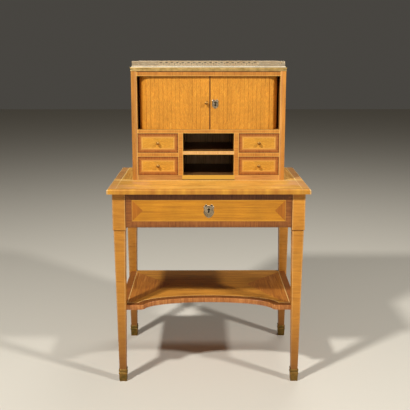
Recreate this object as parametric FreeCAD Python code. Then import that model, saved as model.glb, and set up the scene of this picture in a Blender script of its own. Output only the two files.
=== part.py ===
"""Bonheur du jour: a lady's small writing table with a tambour cabinet on its rear half.

Millimetres. X runs across the front, Y from front to back, Z up. The origin is on the floor,
under the middle of the table top. Each sub-part is written to parts/ as its own STEP file.
"""
import FreeCAD
import Part
import math
import os

V = FreeCAD.Vector

# table top
TOP_WIDTH = 670.0
TOP_DEPTH = 440.0
TOP_THICKNESS = 16.0
TOP_HEIGHT = 685.0             # of the writing surface above the floor
TOP_EDGE_ROUND = 5.0
FRONT_OVERHANG = 15.0
SIDE_OVERHANG = 16.0

# legs and their brass shoes
LEG_BLOCK = 43.0               # square block that the frieze is joined to
LEG_BLOCK_HEIGHT = 125.0
NECK_HEIGHT = 2.5
NECK_WIDTH = 35.0
LEG_TOP = 38.5                 # square under the neck
LEG_BOTTOM = 22.6              # square inside the shoe
SABOT_FLOOR = 3.0
SABOT_WALL = 1.2
SABOT_CUP_HEIGHT = 26.0
SABOT_COLLAR_HEIGHT = 18.0
SABOT_COLLAR_OUT = 2.2         # how far the collar stands out from the cup

# frieze
APRON_HEIGHT = 115.0
APRON_THICKNESS = 18.0
RAIL_THICKNESS = 13.0          # the two rails behind the drawer front
RAIL_DEPTH = 24.0
RUNNER_WIDTH = 44.0
RUNNER_THICKNESS = 12.0
GUIDE_HEIGHT = 24.0            # of the strip beside the drawer

# shelf between the legs
SHELF_HEIGHT = 273.0           # of its upper face
SHELF_THICKNESS = 17.0
SHELF_SIDE_INSET = 13.0
SHELF_FRONT_INSET = 24.0
SHELF_REAR_INSET = 22.0
SHELF_WING = 84.0              # straight stretch at each end of the front edge
SHELF_HOLLOW = 71.0            # depth of the elliptical sweep between the wings
SHELF_CORNER = 16.0

# main drawer
DRAWER_FRONT = 18.0
DRAWER_SIDE = 9.0
DRAWER_SIDE_INSET = 4.0        # of the drawer sides from the leg blocks
DRAWER_BOTTOM = 6.0
DRAWER_BOTTOM_RAISE = 4.0      # of the bottom panel above the sides' lower edge
DRAWER_GROOVE = 4.0
DRAWER_REAR_SPACE = 39.0       # left free behind the drawer
DRAWER_TOP_SPACE = 4.0
KEYHOLE_HEIGHT = 61.0          # above the drawer front's lower edge

# locks
LOCK_WIDTH = 56.0
LOCK_DEPTH = 9.0
LOCK_BACK_PLATE = 1.2
LOCK_DROP = 24.0               # of the lock case below the keyhole
BOLT_WIDTH = 16.0
BOLT_THICKNESS = 5.0
BOLT_LENGTH = 36.0
BOLT_THROW = 7.0
SHIELD_WIDTH = 37.0
SHIELD_HEIGHT = 46.0
SHIELD_THICKNESS = 1.6
SHIELD_EYE = 0.12              # height of the keyhole's eye above the middle, as a share of the shield
KEYHOLE_RADIUS = 2.6
KEYHOLE_SLOT = 2.4
KEYHOLE_LENGTH = 9.0

# cabinet
CASE_SIDE_INSET = 69.0         # of the cabinet's sides from the ends of the table top
CASE_REAR_INSET = 3.0
CASE_DEPTH = 262.0
CASE_SIDE = 19.0
CASE_FLOOR = 17.0
CASE_BACK = 8.0
CASE_TOP = 16.0
DIVIDER = 16.5
PIGEONHOLE_WIDTH = 178.0
LOWER_DRAWER = 66.0
UPPER_DRAWER = 69.0
DRAWER_RAIL = 13.0
PIGEONHOLE_SHELF = 12.0
PIGEONHOLE_LOWER = 73.0
TAMBOUR_FLOOR = 12.0
TAMBOUR_HEIGHT = 185.0

# small drawers
SMALL_FRONT = 14.0
SMALL_WALL = 6.0
SMALL_BOTTOM = 4.0
SMALL_REAR_SPACE = 25.0        # left free behind the drawer
SMALL_TOP_SPACE = 8.0
KNOB_RADIUS = 6.0
KNOB_LENGTH = 12.0
KNOB_BRIM = 7.4                # height of the head's widest part
KNOB_WAIST = 5.4
KNOB_STEM_RADIUS = 2.6
KNOB_ROSE_RADIUS = 5.0
KNOB_ROSE_THICKNESS = 0.8
KNOB_SHANK_RADIUS = 1.5
KNOB_DOME_CUTS = 4             # steps that the dome is turned in
KNOB_SIDE_COUNT = 24           # flats round the knob

# tambour doors
TAMBOUR_RECESS = 8.0           # of the slats behind the cabinet front
TAMBOUR_SIDE_GAP = 6.0         # between the slats and the cabinet side
TAMBOUR_BEND = 34.0            # radius of the slats' outer face in the corner
TAMBOUR_MEETING = 5.0          # the doors meet this far right of the middle
SLAT_PITCH = 14.4
SLAT_THICKNESS = 5.0
SLAT_GAP = 0.4
SLAT_CHAMFER = 0.8
SPARE_SLATS = 1                # behind the corner when the door is shut
CANVAS = 0.8
STILE_WIDTH = 32.0
STILE_THICKNESS = 12.0
GROOVE_DEPTH = 3.0
GROOVE_OUTER_PLAY = 0.4
GROOVE_INNER_PLAY = 1.2
LINING = 5.0
LINING_PLAY = 0.5
TAMBOUR_LOCK_WIDTH = 26.0
TAMBOUR_LOCK_HEIGHT = 50.0
TAMBOUR_LOCK_THICKNESS = 6.0
TAMBOUR_BOLT_HEIGHT = 8.0
TAMBOUR_BOLT_THICKNESS = 3.0
TAMBOUR_BOLT_LENGTH = 14.0
TAMBOUR_BOLT_THROW = 6.0
TAMBOUR_SHIELD_WIDTH = 25.0
TAMBOUR_SHIELD_HEIGHT = 33.0
TAMBOUR_KEYHOLE_IN = 18.5      # from the meeting line
TAMBOUR_KNOB_IN = 12.0         # from the meeting line

# marble, its brass band and the gallery
MARBLE_THICKNESS = 16.5
MARBLE_ARRIS = 0.8             # chamfer round its upper face
BAND_HEIGHT = 13.0
BAND_THICKNESS = 4.0
BAND_OUT = 2.5                 # how far the band stands out from the cabinet
GALLERY_HEIGHT = 17.5
GALLERY_PLATE = 1.6
GALLERY_RAIL = 3.0
GALLERY_INSET = 2.5            # from the edge of the marble
GALLERY_RETURN_LENGTH = 90.0   # along the front at each end
GALLERY_PITCH = 21.0
GALLERY_OVAL = 7.6             # half the length of each oval piercing
GALLERY_OVAL_SIDES = 8         # straight cuts round each oval
GALLERY_BAR = 1.6              # metal left between the piercings and the rails

# clearances
FRONT_PLAY = 0.5               # round a drawer front
SLIDE_PLAY = 0.3               # under a drawer, and round a sliding bolt
SIDE_PLAY = 0.4                # beside a drawer
HOLE_PLAY = 0.3                # of a shank in its hole
BOLT_SPARE = 2.0               # of a mortise past the end of its bolt

# places that follow from the sizes above
top_under = TOP_HEIGHT - TOP_THICKNESS
top_front = -TOP_DEPTH / 2
top_rear = TOP_DEPTH / 2
leg_front = top_front + FRONT_OVERHANG
leg_side = TOP_WIDTH / 2 - SIDE_OVERHANG
leg_x = leg_side - LEG_BLOCK / 2
leg_y_front = leg_front + LEG_BLOCK / 2
leg_y_rear = top_rear - LEG_BLOCK / 2
block_bottom = top_under - LEG_BLOCK_HEIGHT
apron_bottom = top_under - APRON_HEIGHT
span_x = leg_side - LEG_BLOCK             # half the clear width between the leg blocks
span_front = leg_front + LEG_BLOCK
span_rear = top_rear - LEG_BLOCK
rail_front = leg_front + DRAWER_FRONT + FRONT_PLAY
runner_top = apron_bottom + RAIL_THICKNESS
drawer_half = span_x - DRAWER_SIDE_INSET
drawer_low = runner_top + SLIDE_PLAY
drawer_high = top_under - RAIL_THICKNESS - DRAWER_TOP_SPACE
drawer_rear = top_rear - APRON_THICKNESS - DRAWER_REAR_SPACE
keyhole_z = apron_bottom + KEYHOLE_HEIGHT

case_rear = top_rear - CASE_REAR_INSET
case_front = case_rear - CASE_DEPTH
case_half = TOP_WIDTH / 2 - CASE_SIDE_INSET
inner_half = case_half - CASE_SIDE
inner_rear = case_rear - CASE_BACK
bay_inner = PIGEONHOLE_WIDTH / 2 + DIVIDER
lower_z = TOP_HEIGHT + CASE_FLOOR
rail_z = lower_z + LOWER_DRAWER
upper_z = rail_z + DRAWER_RAIL
tambour_floor_z = upper_z + UPPER_DRAWER
tambour_z = tambour_floor_z + TAMBOUR_FLOOR
case_top_z = tambour_z + TAMBOUR_HEIGHT
marble_z = case_top_z + CASE_TOP
gallery_z = marble_z + MARBLE_THICKNESS

slat_face = case_front + TAMBOUR_RECESS
bend_x = inner_half - TAMBOUR_SIDE_GAP - TAMBOUR_BEND
bend_y = slat_face + TAMBOUR_BEND
slat_low = tambour_z - GROOVE_DEPTH + SLIDE_PLAY
slat_high = case_top_z + GROOVE_DEPTH - SLIDE_PLAY
groove_outer = TAMBOUR_BEND + GROOVE_OUTER_PLAY
groove_inner = TAMBOUR_BEND - SLAT_THICKNESS - CANVAS - GROOVE_INNER_PLAY
tambour_mid_z = tambour_z + TAMBOUR_HEIGHT / 2


def box(x0, x1, y0, y1, z0, z1):
    """A board between two corners."""
    return Part.makeBox(x1 - x0, y1 - y0, z1 - z0, V(x0, y0, z0))


def mirrored(shape):
    """The same piece for the other side of the middle plane."""
    return shape.mirror(V(0, 0, 0), V(1, 0, 0))


def polygon(points):
    """A closed flat outline through the points."""
    return Part.makePolygon(points + points[:1])


def prism(points, height):
    """A flat outline of (x, y, z) points, raised along Z."""
    return Part.Face(polygon(points)).extrude(V(0, 0, height))


def solid_of(faces):
    """A solid from the flat faces round it."""
    solid = Part.Solid(Part.Shell(faces))
    if solid.Volume < 0:
        solid.reverse()
    return solid


def stacked(profile, sides, turn=0.0):
    """A form with flat sides round the Z axis, from its (radius to the corners, z) steps, bottom first."""
    rings = []
    for radius, z in profile:
        angles = [turn + 2 * math.pi * i / sides for i in range(sides)]
        rings.append([V(radius * math.cos(t), radius * math.sin(t), z) for t in angles])
    faces = [Part.Face(polygon(rings[0])), Part.Face(polygon(rings[-1]))]
    for low, high in zip(rings, rings[1:]):
        for i in range(sides):
            j = (i + 1) % sides
            faces.append(Part.Face(polygon([low[i], low[j], high[j], high[i]])))
    return solid_of(faces).removeSplitter()


def square_stack(cx, cy, profile):
    """A square form given by its (half width, z) steps, bottom first."""
    solid = stacked([(half * math.sqrt(2), z) for half, z in profile], 4, math.pi / 4)
    solid.translate(V(cx, cy, 0))
    return solid


def mitred_frame(half_x, y0, y1, profile):
    """Four bars round a rectangle, mitred at the corners. The profile is (outwards, z) points."""
    signs = ((-1, -1), (1, -1), (1, 1), (-1, 1))

    def corner(i, out, z):
        sx, sy = signs[i]
        return V(sx * (half_x + out), y1 + out if sy > 0 else y0 - out, z)

    bars = []
    count = len(profile)
    for i in range(4):
        j = (i + 1) % 4
        start = [corner(i, out, z) for out, z in profile]
        end = [corner(j, out, z) for out, z in profile]
        faces = [Part.Face(polygon(start)), Part.Face(polygon(end))]
        for k in range(count):
            n = (k + 1) % count
            faces.append(Part.Face(polygon([start[k], start[n], end[n], end[k]])))
        bars.append(solid_of(faces))
    return bars


def line(a, b):
    return Part.makeLine(V(a[0], a[1], 0), V(b[0], b[1], 0))


def arc(a, b, c):
    """An arc from a to c through b, in the XY plane."""
    return Part.Arc(V(a[0], a[1], 0), V(b[0], b[1], 0), V(c[0], c[1], 0)).toShape()


def export(name, *solids):
    shape = solids[0] if len(solids) == 1 else Part.makeCompound(list(solids))
    shape.exportStep("parts/" + name + ".step")


# ---- table ----

def leg(cx, cy):
    """Square block, a narrow neck under it, and a leg that tapers on all four faces."""
    taper = square_stack(cx, cy, [(LEG_BOTTOM / 2, SABOT_FLOOR), (LEG_TOP / 2, block_bottom - NECK_HEIGHT)])
    neck = box(cx - NECK_WIDTH / 2, cx + NECK_WIDTH / 2, cy - NECK_WIDTH / 2, cy + NECK_WIDTH / 2,
               block_bottom - NECK_HEIGHT, block_bottom)
    block = box(cx - LEG_BLOCK / 2, cx + LEG_BLOCK / 2, cy - LEG_BLOCK / 2, cy + LEG_BLOCK / 2,
                block_bottom, top_under)
    return taper.fuse(neck).fuse(block).removeSplitter()


def sabot(cx, cy, foot):
    """Square brass shoe: a cup with a moulded collar, hollowed to the end of its leg."""
    cup = LEG_BOTTOM / 2 + SABOT_WALL
    rim = SABOT_CUP_HEIGHT
    bevel = SABOT_WALL / 2
    steps = ((0.0, 0.0), (1.0, 0.12), (1.0, 0.35), (0.5, 0.48), (0.85, 0.7), (0.85, 0.88), (0.45, 1.0))
    profile = [(cup - bevel, 0), (cup, bevel)]
    profile += [(cup + out * SABOT_COLLAR_OUT, rim + up * SABOT_COLLAR_HEIGHT) for out, up in steps]
    return square_stack(cx, cy, profile).cut(foot)


def table_top():
    """The board, rounded along its upper front and side edges, with the mortise that the lock shoots into."""
    board = box(-TOP_WIDTH / 2, TOP_WIDTH / 2, top_front, top_rear, top_under, TOP_HEIGHT)
    edges = [e for e in board.Edges
             if abs(e.CenterOfMass.z - TOP_HEIGHT) < 1e-6 and e.CenterOfMass.y < top_rear - 1e-6]
    board = board.makeFillet(min(TOP_EDGE_ROUND, TOP_THICKNESS * 0.45), edges)
    half = BOLT_WIDTH / 2 + 2 * SLIDE_PLAY
    middle = bolt_y()
    depth = BOLT_THICKNESS / 2 + 2 * SLIDE_PLAY
    mortise = box(-half, half, middle - depth, middle + depth, top_under, top_under + BOLT_THROW + BOLT_SPARE)
    return board.cut(mortise)


def undershelf(legs):
    """Shelf with an elliptical sweep in its front edge, notched round the four legs."""
    half = leg_side - SHELF_SIDE_INSET
    front = leg_front + SHELF_FRONT_INSET
    rear = top_rear - SHELF_REAR_INSET
    low = SHELF_HEIGHT - SHELF_THICKNESS
    board = box(-half, half, front, rear, low, SHELF_HEIGHT)
    sweep = half - SHELF_WING
    long_axis, short_axis = max(sweep, SHELF_HOLLOW), min(sweep, SHELF_HOLLOW)
    ellipse = Part.Ellipse(V(0, front, low), long_axis, short_axis).toShape()
    hollow = Part.Face(Part.Wire(ellipse)).extrude(V(0, 0, SHELF_THICKNESS))
    board = board.cut(hollow)
    corners = [e for e in board.Edges
               if abs(abs(e.CenterOfMass.x) - sweep) < 0.5 and abs(e.CenterOfMass.y - front) < 0.5]
    board = board.makeFillet(SHELF_CORNER, corners)
    return board.cut(legs)


def side_apron():
    return box(leg_side - APRON_THICKNESS, leg_side, span_front, span_rear, apron_bottom, top_under)


def rear_apron():
    return box(-span_x, span_x, top_rear - APRON_THICKNESS, top_rear, apron_bottom, top_under)


def front_rail(low):
    """One of the two rails behind the drawer front."""
    return box(-span_x, span_x, rail_front, rail_front + RAIL_DEPTH, low, low + RAIL_THICKNESS)


def drawer_runner():
    """L-shaped strip inside the side apron: a ledge under the drawer side and a guide beside it."""
    outer = leg_side - APRON_THICKNESS
    ledge = box(outer - RUNNER_WIDTH, outer, span_front, span_rear, runner_top - RUNNER_THICKNESS, runner_top)
    guide = box(drawer_half + SIDE_PLAY, outer, span_front, span_rear, runner_top, runner_top + GUIDE_HEIGHT)
    return ledge.fuse(guide).removeSplitter()


# ---- locks and shields ----

def keyhole(x, y, z, depth):
    """Round eye over a slot, through a plate that starts at y."""
    eye = Part.makeCylinder(KEYHOLE_RADIUS, depth, V(x, y, z), V(0, 1, 0))
    slot = box(x - KEYHOLE_SLOT / 2, x + KEYHOLE_SLOT / 2, y, y + depth, z - KEYHOLE_LENGTH, z)
    return eye.fuse(slot).removeSplitter()


def shield(x, y, z, width, height):
    """Shield-shaped lock plate: a dip between two scrolls on top, sides that sweep down to a point."""
    w, h = width / 2, height / 2
    right = [arc((0, 0.88 * h), (0.12 * w, 0.82 * h), (0.26 * w, 0.84 * h)),
             arc((0.26 * w, 0.84 * h), (0.48 * w, h), (0.70 * w, 0.88 * h)),
             arc((0.70 * w, 0.88 * h), (0.80 * w, 0.76 * h), (w, 0.68 * h)),
             arc((w, 0.68 * h), (0.86 * w, 0.25 * h), (0.95 * w, -0.13 * h)),
             arc((0.95 * w, -0.13 * h), (0.64 * w, -0.67 * h), (0, -h))]
    left = [mirrored(edge) for edge in reversed(right)]
    plate = Part.Face(Part.Wire(right + left)).extrude(V(0, 0, SHIELD_THICKNESS))
    plate.rotate(V(0, 0, 0), V(1, 0, 0), 90)
    plate.translate(V(x, y, z))
    return plate.cut(keyhole(x, y - SHIELD_THICKNESS, z + SHIELD_EYE * height, SHIELD_THICKNESS))


def bolt_y():
    """Middle of the main drawer's bolt, in the thickness of the drawer front."""
    return leg_front + DRAWER_FRONT - LOCK_DEPTH / 2


def drawer_bolt():
    top = top_under - FRONT_PLAY - 0.4
    return box(-BOLT_WIDTH / 2, BOLT_WIDTH / 2, bolt_y() - BOLT_THICKNESS / 2, bolt_y() + BOLT_THICKNESS / 2,
               top - BOLT_LENGTH, top)


def drawer_lock():
    """Brass lock case let into the back of the drawer front, open above for its bolt."""
    top = top_under - FRONT_PLAY
    rear = leg_front + DRAWER_FRONT
    case = box(-LOCK_WIDTH / 2, LOCK_WIDTH / 2, rear - LOCK_DEPTH, rear, keyhole_z - LOCK_DROP, top)
    grow = SLIDE_PLAY
    channel = box(-BOLT_WIDTH / 2 - grow, BOLT_WIDTH / 2 + grow, bolt_y() - BOLT_THICKNESS / 2 - grow,
                  bolt_y() + BOLT_THICKNESS / 2 + grow, top - BOLT_LENGTH - 1, top)
    eye = keyhole(0, rear - LOCK_DEPTH, keyhole_z, LOCK_DEPTH - LOCK_BACK_PLATE)
    return case.cut(channel).cut(eye)


# ---- main drawer ----

def main_drawer():
    """Front, two sides, back and a bottom panel held in grooves."""
    face = leg_front
    rear = face + DRAWER_FRONT
    end = drawer_rear
    panel_low = drawer_low + DRAWER_BOTTOM_RAISE
    panel = box(-drawer_half + DRAWER_SIDE - DRAWER_GROOVE, drawer_half - DRAWER_SIDE + DRAWER_GROOVE,
                rear - DRAWER_GROOVE, end - DRAWER_SIDE, panel_low, panel_low + DRAWER_BOTTOM)
    front = box(-span_x + FRONT_PLAY, span_x - FRONT_PLAY, face, rear, apron_bottom, top_under - FRONT_PLAY)
    recess = box(-LOCK_WIDTH / 2, LOCK_WIDTH / 2, rear - LOCK_DEPTH, rear, keyhole_z - LOCK_DROP, top_under)
    front = front.cut(recess).cut(keyhole(0, face, keyhole_z, DRAWER_FRONT)).cut(panel)
    side = box(drawer_half - DRAWER_SIDE, drawer_half, rear, end, drawer_low, drawer_high).cut(panel)
    back = box(-drawer_half + DRAWER_SIDE, drawer_half - DRAWER_SIDE, end - DRAWER_SIDE, end,
               panel_low, drawer_high - DRAWER_TOP_SPACE)
    export("drawer_front", front)
    export("drawer_side_right", side)
    export("drawer_side_left", mirrored(side))
    export("drawer_back", back)
    export("drawer_bottom", panel)
    drop = SHIELD_EYE * SHIELD_HEIGHT
    export("drawer_escutcheon", shield(0, face, keyhole_z - drop, SHIELD_WIDTH, SHIELD_HEIGHT))
    export("drawer_lock", drawer_lock())
    export("drawer_lock_bolt", drawer_bolt())


# ---- small drawers ----

def knob(x, y, z, board):
    """Turned brass button on a shank that passes through the board behind it."""
    rise = KNOB_LENGTH - KNOB_BRIM
    dome = (KNOB_RADIUS ** 2 + rise ** 2) / (2 * rise)
    edge = math.asin(min(1.0, KNOB_RADIUS / dome))
    profile = [(KNOB_SHANK_RADIUS, -board), (KNOB_SHANK_RADIUS, 0), (KNOB_ROSE_RADIUS, 0),
               (KNOB_ROSE_RADIUS, KNOB_ROSE_THICKNESS), (KNOB_STEM_RADIUS, 2 * KNOB_ROSE_THICKNESS),
               (KNOB_STEM_RADIUS, KNOB_WAIST)]
    for i in range(KNOB_DOME_CUTS):
        angle = edge * (KNOB_DOME_CUTS - i) / KNOB_DOME_CUTS
        profile.append((dome * math.sin(angle), KNOB_LENGTH - dome + dome * math.cos(angle)))
    solid = stacked(profile, KNOB_SIDE_COUNT)
    solid.rotate(V(0, 0, 0), V(1, 0, 0), 90)
    solid.translate(V(x, y, z))
    return solid


def shank_hole(x, y, z, board):
    return Part.makeCylinder(KNOB_SHANK_RADIUS + HOLE_PLAY, board, V(x, y, z), V(0, 1, 0))


def small_drawer(name, x0, x1, z0, z1):
    """A drawer that fills the opening between x0 and x1 and between z0 and z1."""
    face = case_front
    rear = face + SMALL_FRONT
    end = inner_rear - SMALL_REAR_SPACE
    middle = (x0 + x1) / 2
    centre = (z0 + z1) / 2
    front = box(x0 + FRONT_PLAY, x1 - FRONT_PLAY, face, rear, z0 + SLIDE_PLAY, z1 - FRONT_PLAY)
    front = front.cut(shank_hole(middle, face, centre, SMALL_FRONT))
    low, high = z0 + SLIDE_PLAY, z1 - SMALL_TOP_SPACE
    left, right = x0 + SIDE_PLAY, x1 - SIDE_PLAY
    floor = box(left + SMALL_WALL, right - SMALL_WALL, rear, end - SMALL_WALL, low, low + SMALL_BOTTOM)
    export(name + "_front", front)
    export(name + "_box", floor,
           box(left, left + SMALL_WALL, rear, end, low, high),
           box(right - SMALL_WALL, right, rear, end, low, high),
           box(left + SMALL_WALL, right - SMALL_WALL, end - SMALL_WALL, end, low, high))
    export(name + "_knob", knob(middle, face, centre, SMALL_FRONT))


# ---- cabinet ----

def tambour_groove(low, high):
    """U-shaped groove for the slats' ends, open at the rear: straight, round each corner, straight back."""
    o, i = groove_outer, groove_inner
    turn = math.sqrt(0.5)

    def ring(radius, side):
        start = (side * (bend_x + radius), bend_y)
        through = (side * (bend_x + radius * turn), bend_y - radius * turn)
        end = (side * bend_x, bend_y - radius)
        return start, through, end

    lo, ro, li, ri = ring(o, -1), ring(o, 1), ring(i, -1), ring(i, 1)
    edges = [line((lo[0][0], inner_rear), lo[0]), arc(*lo), line(lo[2], ro[2]), arc(*reversed(ro)),
             line(ro[0], (ro[0][0], inner_rear)), line((ro[0][0], inner_rear), (ri[0][0], inner_rear)),
             line((ri[0][0], inner_rear), ri[0]), arc(*ri), line(ri[2], li[2]), arc(*reversed(li)),
             line(li[0], (li[0][0], inner_rear)), line((li[0][0], inner_rear), (lo[0][0], inner_rear))]
    groove = Part.Face(Part.Wire(edges)).extrude(V(0, 0, high - low))
    groove.translate(V(0, 0, low))
    return groove


def cabinet():
    """Sides, back, floors, dividers and shelves."""
    side = box(inner_half, case_half, case_front, case_rear, TOP_HEIGHT, marble_z)
    export("case_side_right", side)
    export("case_side_left", mirrored(side))
    export("case_back", box(-inner_half, inner_half, inner_rear, case_rear, TOP_HEIGHT, marble_z))
    export("case_floor", box(-inner_half, inner_half, case_front, inner_rear, TOP_HEIGHT, lower_z))
    divider = box(bay_inner - DIVIDER, bay_inner, case_front, inner_rear, lower_z, tambour_floor_z)
    export("divider_right", divider)
    export("divider_left", mirrored(divider))
    rail = box(bay_inner, inner_half, case_front, inner_rear, rail_z, upper_z)
    export("drawer_shelf_right", rail)
    export("drawer_shelf_left", mirrored(rail))
    shelf_z = lower_z + PIGEONHOLE_LOWER
    export("pigeonhole_shelf", box(-PIGEONHOLE_WIDTH / 2, PIGEONHOLE_WIDTH / 2, case_front, inner_rear,
                                   shelf_z, shelf_z + PIGEONHOLE_SHELF))
    floor = box(-inner_half, inner_half, case_front, inner_rear, tambour_floor_z, tambour_z)
    export("tambour_floor", floor.cut(tambour_groove(tambour_z - GROOVE_DEPTH, tambour_z)))
    roof = box(-inner_half, inner_half, case_front, inner_rear, case_top_z, marble_z)
    export("case_top", roof.cut(tambour_groove(case_top_z, case_top_z + GROOVE_DEPTH)))
    outer = bend_x + groove_inner - LINING_PLAY
    lining = box(outer - LINING, outer, bend_y, inner_rear, tambour_z, case_top_z)
    export("tambour_linings", lining, mirrored(lining))


# ---- tambour doors ----

def canvas_point(s, start):
    """Point on the slats' inner face, at a distance s along the path from the meeting edge at x = start."""
    radius = TAMBOUR_BEND - SLAT_THICKNESS
    straight = bend_x - start
    if s <= straight:
        return V(start + s, bend_y - radius, 0)
    angle = (s - straight) / radius
    if angle <= math.pi / 2:
        return V(bend_x + radius * math.sin(angle), bend_y - radius * math.cos(angle), 0)
    return V(bend_x + radius, bend_y + s - straight - radius * math.pi / 2, 0)


def hinge_points(start):
    """Where the canvas bends: the stile's outer edge, then each joint between slats, to behind the corner."""
    reach = bend_x - start - STILE_WIDTH + (TAMBOUR_BEND - SLAT_THICKNESS) * math.pi / 2
    count = math.ceil(reach / SLAT_PITCH) + SPARE_SLATS
    return [canvas_point(STILE_WIDTH + i * SLAT_PITCH, start) for i in range(count + 1)]


def outward(a, b):
    """Unit vector square to the run from a to b, towards the slats' outer face."""
    run = b.sub(a).normalize()
    return V(run.y, -run.x, 0)


def slat(a, b):
    """One slat on the canvas between two joints, with small chamfers along its outer edges."""
    run = b.sub(a)
    along = V(run).normalize()
    out = outward(a, b)
    middle = a.add(run.multiply(0.5))
    half = (SLAT_PITCH - SLAT_GAP) / 2
    step = SLAT_THICKNESS - SLAT_CHAMFER
    shape = [(-half, 0), (half, 0), (half, step), (half - SLAT_CHAMFER, SLAT_THICKNESS),
             (-half + SLAT_CHAMFER, SLAT_THICKNESS), (-half, step)]
    points = [middle + along * u + out * v + V(0, 0, slat_low) for u, v in shape]
    return prism(points, slat_high - slat_low)


def canvas(points):
    """The cloth that the slats are glued to, bent only at their joints."""
    normals = [outward(a, b) for a, b in zip(points, points[1:])]
    inner = [points[0] - normals[0] * CANVAS]
    for before, after, point in zip(normals, normals[1:], points[1:]):
        mean = (before + after).normalize()
        inner.append(point - mean * (CANVAS / mean.dot(after)))
    inner.append(points[-1] - normals[-1] * CANVAS)
    lift = V(0, 0, slat_low)
    strip = [p + lift for p in points] + [p + lift for p in reversed(inner)]
    return prism(strip, slat_high - slat_low)


def stile(start):
    """The stiff leading piece of a door, with a tongue at each end for the groove."""
    low, high = tambour_z + FRONT_PLAY, case_top_z - FRONT_PLAY
    body = box(start, start + STILE_WIDTH, slat_face, slat_face + STILE_THICKNESS, low, high)
    tongue = box(start, start + STILE_WIDTH, slat_face, slat_face + SLAT_THICKNESS, slat_low, slat_high)
    return body.fuse(tongue).removeSplitter()


def tambour_lock_box(grow, reach):
    """Space of the tambour's bolt, with room round it, from the meeting line inwards."""
    rear = slat_face + STILE_THICKNESS
    middle = rear - TAMBOUR_LOCK_THICKNESS / 2
    z = tambour_mid_z - TAMBOUR_LOCK_HEIGHT / 4
    return box(TAMBOUR_MEETING, TAMBOUR_MEETING + reach, middle - TAMBOUR_BOLT_THICKNESS / 2 - grow,
               middle + TAMBOUR_BOLT_THICKNESS / 2 + grow, z - TAMBOUR_BOLT_HEIGHT / 2 - grow,
               z + TAMBOUR_BOLT_HEIGHT / 2 + grow)


def tambours():
    """Two doors. The left one is made as a right one and mirrored."""
    rear = slat_face + STILE_THICKNESS
    key_x = TAMBOUR_MEETING + TAMBOUR_KEYHOLE_IN
    gap = FRONT_PLAY / 2
    for name, start in (("right", TAMBOUR_MEETING + gap), ("left", -TAMBOUR_MEETING + gap)):
        points = hinge_points(start)
        slats = [slat(a, b) for a, b in zip(points, points[1:])]
        cloth = canvas(points)
        post = stile(start)
        if name == "left":
            slats = [mirrored(s) for s in slats]
            cloth = mirrored(cloth)
            pocket = tambour_lock_box(2 * SLIDE_PLAY, TAMBOUR_BOLT_THROW + BOLT_SPARE)
            pocket.translate(V(-TAMBOUR_BOLT_THROW - BOLT_SPARE, 0, 0))
            knob_x = TAMBOUR_MEETING - TAMBOUR_KNOB_IN
            post = mirrored(post).cut(pocket)
            post = post.cut(shank_hole(knob_x, slat_face, tambour_mid_z, STILE_THICKNESS))
            export("tambour_knob", knob(knob_x, slat_face, tambour_mid_z, STILE_THICKNESS))
        else:
            lock = box(start, start + TAMBOUR_LOCK_WIDTH, rear - TAMBOUR_LOCK_THICKNESS, rear,
                       tambour_mid_z - TAMBOUR_LOCK_HEIGHT / 2, tambour_mid_z + TAMBOUR_LOCK_HEIGHT / 2)
            post = post.cut(lock).cut(keyhole(key_x, slat_face, tambour_mid_z, STILE_THICKNESS))
            channel = tambour_lock_box(SLIDE_PLAY, TAMBOUR_BOLT_LENGTH + 1)
            eye = keyhole(key_x, rear - TAMBOUR_LOCK_THICKNESS, tambour_mid_z,
                          TAMBOUR_LOCK_THICKNESS - LOCK_BACK_PLATE)
            export("tambour_lock", lock.cut(channel).cut(eye))
            bolt = tambour_lock_box(0, TAMBOUR_BOLT_LENGTH)
            bolt.translate(V(gap + SLIDE_PLAY, 0, 0))
            export("tambour_lock_bolt", bolt)
            drop = SHIELD_EYE * TAMBOUR_SHIELD_HEIGHT
            export("tambour_escutcheon", shield(key_x, slat_face, tambour_mid_z - drop,
                                                TAMBOUR_SHIELD_WIDTH, TAMBOUR_SHIELD_HEIGHT))
        export("tambour_stile_" + name, post)
        export("tambour_slats_" + name, *slats)
        export("tambour_canvas_" + name, cloth)


# ---- top of the cabinet ----

def marble_and_band():
    """Marble slab, and the moulded brass edge round it in four mitred lengths."""
    inner = case_half + BAND_OUT - BAND_THICKNESS
    steps = ((0, 0), (0.6, 0), (0.78, 0.12), (0.78, 0.22), (0.55, 0.32), (0.65, 0.55), (0.85, 0.7), (1, 0.78),
             (1, 0.93), (0.85, 1), (0, 1))
    profile = [(out * BAND_THICKNESS, marble_z + up * BAND_HEIGHT) for out, up in steps]
    rear = case_rear - BAND_THICKNESS
    front = case_front - BAND_OUT + BAND_THICKNESS
    export("brass_band", *mitred_frame(inner, front, rear, profile))
    slab = box(-inner, inner, front, rear, marble_z, gallery_z)
    arrises = [edge for edge in slab.Edges if edge.BoundBox.ZMin > gallery_z - MARBLE_ARRIS]
    export("marble_top", slab.makeChamfer(MARBLE_ARRIS, arrises))


def oval(centre, low, high):
    """Oval piercing, filed with straight cuts, with a point at each end."""
    mid, rise = (low + high) / 2, (high - low) / 2
    turns = [2 * math.pi * i / GALLERY_OVAL_SIDES for i in range(GALLERY_OVAL_SIDES)]
    rim = [V(centre + GALLERY_OVAL * math.cos(t), mid + rise * math.sin(t), 0) for t in turns]
    return Part.Face(polygon(rim))


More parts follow.
